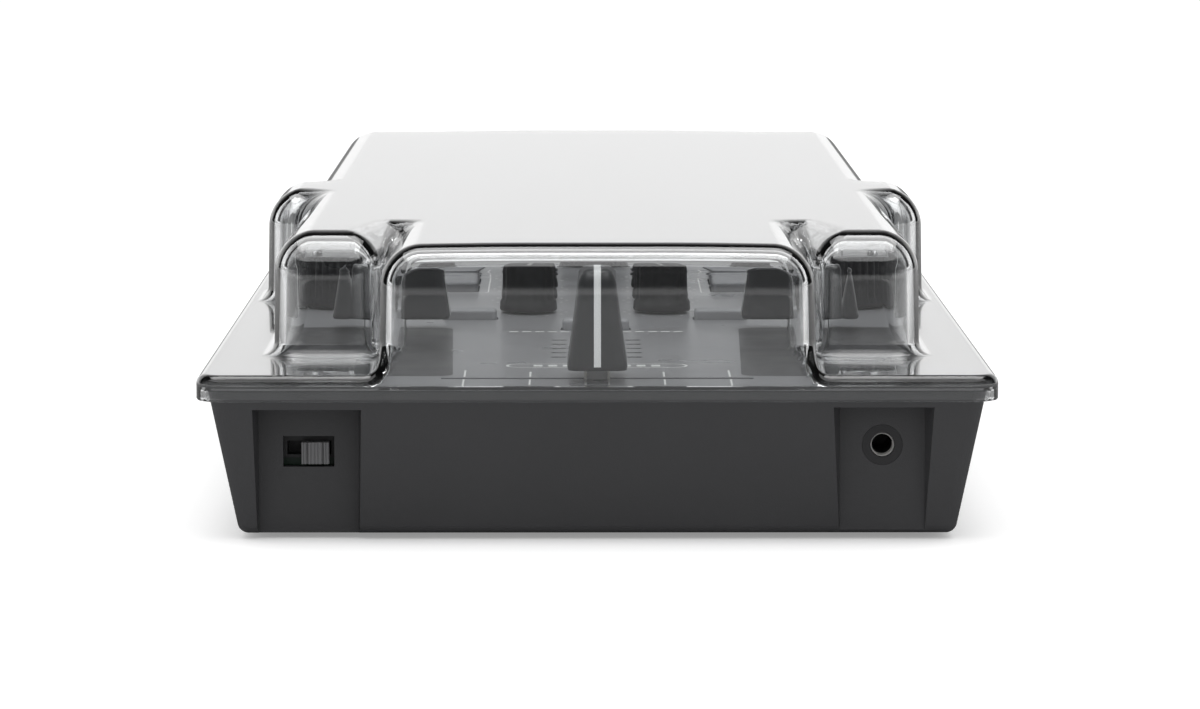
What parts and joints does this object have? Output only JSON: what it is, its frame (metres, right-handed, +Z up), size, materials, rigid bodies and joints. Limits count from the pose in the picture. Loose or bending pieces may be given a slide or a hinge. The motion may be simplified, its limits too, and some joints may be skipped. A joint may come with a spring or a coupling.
{
  "type": "dj mixer",
  "caption": "Portable two-channel DJ mixer in a tapered case with sliding faders, knobs, encoders, pads and a clear lift-off dust cover.",
  "frame": {"origin": "middle of the footprint, on the surface that the feet stand on", "axes": "+Z up, -Y towards the user at the crossfader end, +X to the user's right"},
  "size_m": [0.137, 0.3036, 0.0514],
  "materials": {
    "case_plastic": "fine moulded texture",
    "panel_metal": "satin grey paint on steel sheet",
    "circuit_board": "solder-masked laminate",
    "zinc_steel": "zinc-plated sheet",
    "control_body": "moulded control bodies",
    "lamp_lens": "translucent lamp windows",
    "socket_plastic": "black socket moulding",
    "socket_metal": "nickel plate",
    "screw_steel": "black zinc screws",
    "foot_rubber": "soft rubber feet",
    "clear_cover": "clear vacuum-formed polycarbonate",
    "lever_metal": "stamped fader levers",
    "cap_plastic": "matt fader caps with a line",
    "knob_rubber": "soft-touch knobs",
    "encoder_grip": "fluted encoder knobs",
    "spindle_metal": "turned spindle",
    "key_rubber": "silicone keys",
    "pad_rubber": "pale silicone pads",
    "switch_plastic": "ribbed switch knob"
  },
  "bodies": {
    "case": {"bottom_case": "case_plastic", "top_panel": "panel_metal", "main_board": "circuit_board", "fader_tracks": "zinc_steel", "pot_bodies": "control_body", "encoder_bodies": "control_body", "key_switches": "control_body", "level_lamps": "lamp_lens", "headphone_jack": "socket_plastic", "jack_sleeve": "socket_metal", "phones_switch_body": "socket_plastic", "usb_socket": "socket_metal", "rca_sockets": "socket_metal", "case_screws": "screw_steel", "board_screws": "zinc_steel", "panel_spacers": "spindle_metal", "rubber_feet": "foot_rubber"},
    "cover": {"dust_cover": "clear_cover"},
    "crossfader": {"crossfader_slider": "lever_metal", "crossfader_cap": "cap_plastic"},
    "line_fader_left": {"line_fader_slider_left": "lever_metal", "line_fader_cap_left": "cap_plastic"},
    "line_fader_right": {"line_fader_slider_right": "lever_metal", "line_fader_cap_right": "cap_plastic"},
    "filter_knob_left_turn": {"filter_knob_left": "knob_rubber"},
    "low_knob_left_turn": {"low_knob_left": "knob_rubber"},
    "mid_knob_left_turn": {"mid_knob_left": "knob_rubber"},
    "high_knob_left_turn": {"high_knob_left": "knob_rubber"},
    "filter_knob_right_turn": {"filter_knob_right": "knob_rubber"},
    "low_knob_right_turn": {"low_knob_right": "knob_rubber"},
    "mid_knob_right_turn": {"mid_knob_right": "knob_rubber"},
    "high_knob_right_turn": {"high_knob_right": "knob_rubber"},
    "cue_mix_knob_turn": {"cue_mix_knob": "knob_rubber"},
    "master_knob_turn": {"master_knob": "knob_rubber"},
    "phones_knob_turn": {"phones_knob": "knob_rubber"},
    "deck_encoder_left_turn": {"deck_encoder_left": "encoder_grip"},
    "deck_encoder_right_turn": {"deck_encoder_right": "encoder_grip"},
    "browse_push": {"browse_spindle": "spindle_metal"},
    "browse_turn": {"browse_knob": "encoder_grip"},
    "phones_switch": {"phones_switch_knob": "switch_plastic"},
    "shift_key_push": {"shift_key": "key_rubber"},
    "phones_key_left_push": {"phones_key_left": "key_rubber"},
    "load_key_left_push": {"load_key_left": "key_rubber"},
    "sync_key_left_push": {"sync_key_left": "key_rubber"},
    "cue_key_left_push": {"cue_key_left": "key_rubber"},
    "play_key_left_push": {"play_key_left": "key_rubber"},
    "pad_1_left_push": {"pad_1_left": "pad_rubber"},
    "pad_2_left_push": {"pad_2_left": "pad_rubber"},
    "pad_3_left_push": {"pad_3_left": "pad_rubber"},
    "pad_4_left_push": {"pad_4_left": "pad_rubber"},
    "phones_key_right_push": {"phones_key_right": "key_rubber"},
    "load_key_right_push": {"load_key_right": "key_rubber"},
    "sync_key_right_push": {"sync_key_right": "key_rubber"},
    "cue_key_right_push": {"cue_key_right": "key_rubber"},
    "play_key_right_push": {"play_key_right": "key_rubber"},
    "pad_1_right_push": {"pad_1_right": "pad_rubber"},
    "pad_2_right_push": {"pad_2_right": "pad_rubber"},
    "pad_3_right_push": {"pad_3_right": "pad_rubber"},
    "pad_4_right_push": {"pad_4_right": "pad_rubber"}
  },
  "joints": [
    {"name": "cover_lift", "type": "slide", "parent": "case", "child": "cover", "axis": [0, 0, 1], "range_m": [0, 0.06]},
    {"name": "crossfader_slide", "type": "slide", "parent": "case", "child": "crossfader", "axis": [1, 0, 0], "range_m": [-0.0225, 0.0225]},
    {"name": "line_fader_slide_left", "type": "slide", "parent": "case", "child": "line_fader_left", "axis": [0, -1, 0], "range_m": [0, 0.045]},
    {"name": "line_fader_slide_right", "type": "slide", "parent": "case", "child": "line_fader_right", "axis": [0, -1, 0], "range_m": [0, 0.045]},
    {"name": "filter_knob_left_rotate", "type": "hinge", "parent": "case", "child": "filter_knob_left_turn", "pos_m": [-0.013, -0.028, 0.03], "axis": [0, 0, 1], "range_deg": [-150, 150]},
    {"name": "low_knob_left_rotate", "type": "hinge", "parent": "case", "child": "low_knob_left_turn", "pos_m": [-0.013, -0.008, 0.03], "axis": [0, 0, 1], "range_deg": [-150, 150]},
    {"name": "mid_knob_left_rotate", "type": "hinge", "parent": "case", "child": "mid_knob_left_turn", "pos_m": [-0.013, 0.012, 0.03], "axis": [0, 0, 1], "range_deg": [-150, 150]},
    {"name": "high_knob_left_rotate", "type": "hinge", "parent": "case", "child": "high_knob_left_turn", "pos_m": [-0.013, 0.032, 0.03], "axis": [0, 0, 1], "range_deg": [-150, 150]},
    {"name": "filter_knob_right_rotate", "type": "hinge", "parent": "case", "child": "filter_knob_right_turn", "pos_m": [0.013, -0.028, 0.03], "axis": [0, 0, 1], "range_deg": [-150, 150]},
    {"name": "low_knob_right_rotate", "type": "hinge", "parent": "case", "child": "low_knob_right_turn", "pos_m": [0.013, -0.008, 0.03], "axis": [0, 0, 1], "range_deg": [-150, 150]},
    {"name": "mid_knob_right_rotate", "type": "hinge", "parent": "case", "child": "mid_knob_right_turn", "pos_m": [0.013, 0.012, 0.03], "axis": [0, 0, 1], "range_deg": [-150, 150]},
    {"name": "high_knob_right_rotate", "type": "hinge", "parent": "case", "child": "high_knob_right_turn", "pos_m": [0.013, 0.032, 0.03], "axis": [0, 0, 1], "range_deg": [-150, 150]},
    {"name": "cue_mix_knob_rotate", "type": "hinge", "parent": "case", "child": "cue_mix_knob_turn", "pos_m": [-0.036, 0.112, 0.03], "axis": [0, 0, 1], "range_deg": [-150, 150]},
    {"name": "master_knob_rotate", "type": "hinge", "parent": "case", "child": "master_knob_turn", "pos_m": [0, 0.112, 0.03], "axis": [0, 0, 1], "range_deg": [-150, 150]},
    {"name": "phones_knob_rotate", "type": "hinge", "parent": "case", "child": "phones_knob_turn", "pos_m": [0.036, 0.112, 0.03], "axis": [0, 0, 1], "range_deg": [-150, 150]},
    {"name": "deck_encoder_left_rotate", "type": "hinge", "parent": "case", "child": "deck_encoder_left_turn", "pos_m": [-0.049, -0.0158, 0.03], "axis": [0, 0, 1], "continuous": true},
    {"name": "deck_encoder_right_rotate", "type": "hinge", "parent": "case", "child": "deck_encoder_right_turn", "pos_m": [0.049, -0.0158, 0.03], "axis": [0, 0, 1], "continuous": true},
    {"name": "browse_press", "type": "slide", "parent": "case", "child": "browse_push", "axis": [0, 0, -1], "range_m": [0, 0.0006], "stiffness_N_per_m": 600, "springref_m": -0.0004},
    {"name": "browse_rotate", "type": "hinge", "parent": "browse_push", "child": "browse_turn", "pos_m": [0, 0.08, 0.03], "axis": [0, 0, 1], "continuous": true},
    {"name": "phones_switch_slide", "type": "slide", "parent": "case", "child": "phones_switch", "axis": [-1, 0, 0], "range_m": [0, 0.00225]},
    {"name": "shift_key_press", "type": "slide", "parent": "case", "child": "shift_key_push", "axis": [0, 0, -1], "range_m": [0, 0.0008], "stiffness_N_per_m": 400, "springref_m": -0.0005},
    {"name": "phones_key_left_press", "type": "slide", "parent": "case", "child": "phones_key_left_push", "axis": [0, 0, -1], "range_m": [0, 0.0008], "stiffness_N_per_m": 400, "springref_m": -0.0005},
    {"name": "load_key_left_press", "type": "slide", "parent": "case", "child": "load_key_left_push", "axis": [0, 0, -1], "range_m": [0, 0.0008], "stiffness_N_per_m": 400, "springref_m": -0.0005},
    {"name": "sync_key_left_press", "type": "slide", "parent": "case", "child": "sync_key_left_push", "axis": [0, 0, -1], "range_m": [0, 0.0008], "stiffness_N_per_m": 400, "springref_m": -0.0005},
    {"name": "cue_key_left_press", "type": "slide", "parent": "case", "child": "cue_key_left_push", "axis": [0, 0, -1], "range_m": [0, 0.0008], "stiffness_N_per_m": 400, "springref_m": -0.0005},
    {"name": "play_key_left_press", "type": "slide", "parent": "case", "child": "play_key_left_push", "axis": [0, 0, -1], "range_m": [0, 0.0008], "stiffness_N_per_m": 400, "springref_m": -0.0005},
    {"name": "pad_1_left_press", "type": "slide", "parent": "case", "child": "pad_1_left_push", "axis": [0, 0, -1], "range_m": [0, 0.0008], "stiffness_N_per_m": 400, "springref_m": -0.0005},
    {"name": "pad_2_left_press", "type": "slide", "parent": "case", "child": "pad_2_left_push", "axis": [0, 0, -1], "range_m": [0, 0.0008], "stiffness_N_per_m": 400, "springref_m": -0.0005},
    {"name": "pad_3_left_press", "type": "slide", "parent": "case", "child": "pad_3_left_push", "axis": [0, 0, -1], "range_m": [0, 0.0008], "stiffness_N_per_m": 400, "springref_m": -0.0005},
    {"name": "pad_4_left_press", "type": "slide", "parent": "case", "child": "pad_4_left_push", "axis": [0, 0, -1], "range_m": [0, 0.0008], "stiffness_N_per_m": 400, "springref_m": -0.0005},
    {"name": "phones_key_right_press", "type": "slide", "parent": "case", "child": "phones_key_right_push", "axis": [0, 0, -1], "range_m": [0, 0.0008], "stiffness_N_per_m": 400, "springref_m": -0.0005},
    {"name": "load_key_right_press", "type": "slide", "parent": "case", "child": "load_key_right_push", "axis": [0, 0, -1], "range_m": [0, 0.0008], "stiffness_N_per_m": 400, "springref_m": -0.0005},
    {"name": "sync_key_right_press", "type": "slide", "parent": "case", "child": "sync_key_right_push", "axis": [0, 0, -1], "range_m": [0, 0.0008], "stiffness_N_per_m": 400, "springref_m": -0.0005},
    {"name": "cue_key_right_press", "type": "slide", "parent": "case", "child": "cue_key_right_push", "axis": [0, 0, -1], "range_m": [0, 0.0008], "stiffness_N_per_m": 400, "springref_m": -0.0005},
    {"name": "play_key_right_press", "type": "slide", "parent": "case", "child": "play_key_right_push", "axis": [0, 0, -1], "range_m": [0, 0.0008], "stiffness_N_per_m": 400, "springref_m": -0.0005},
    {"name": "pad_1_right_press", "type": "slide", "parent": "case", "child": "pad_1_right_push", "axis": [0, 0, -1], "range_m": [0, 0.0008], "stiffness_N_per_m": 400, "springref_m": -0.0005},
    {"name": "pad_2_right_press", "type": "slide", "parent": "case", "child": "pad_2_right_push", "axis": [0, 0, -1], "range_m": [0, 0.0008], "stiffness_N_per_m": 400, "springref_m": -0.0005},
    {"name": "pad_3_right_press", "type": "slide", "parent": "case", "child": "pad_3_right_push", "axis": [0, 0, -1], "range_m": [0, 0.0008], "stiffness_N_per_m": 400, "springref_m": -0.0005},
    {"name": "pad_4_right_press", "type": "slide", "parent": "case", "child": "pad_4_right_push", "axis": [0, 0, -1], "range_m": [0, 0.0008], "stiffness_N_per_m": 400, "springref_m": -0.0005}
  ]
}
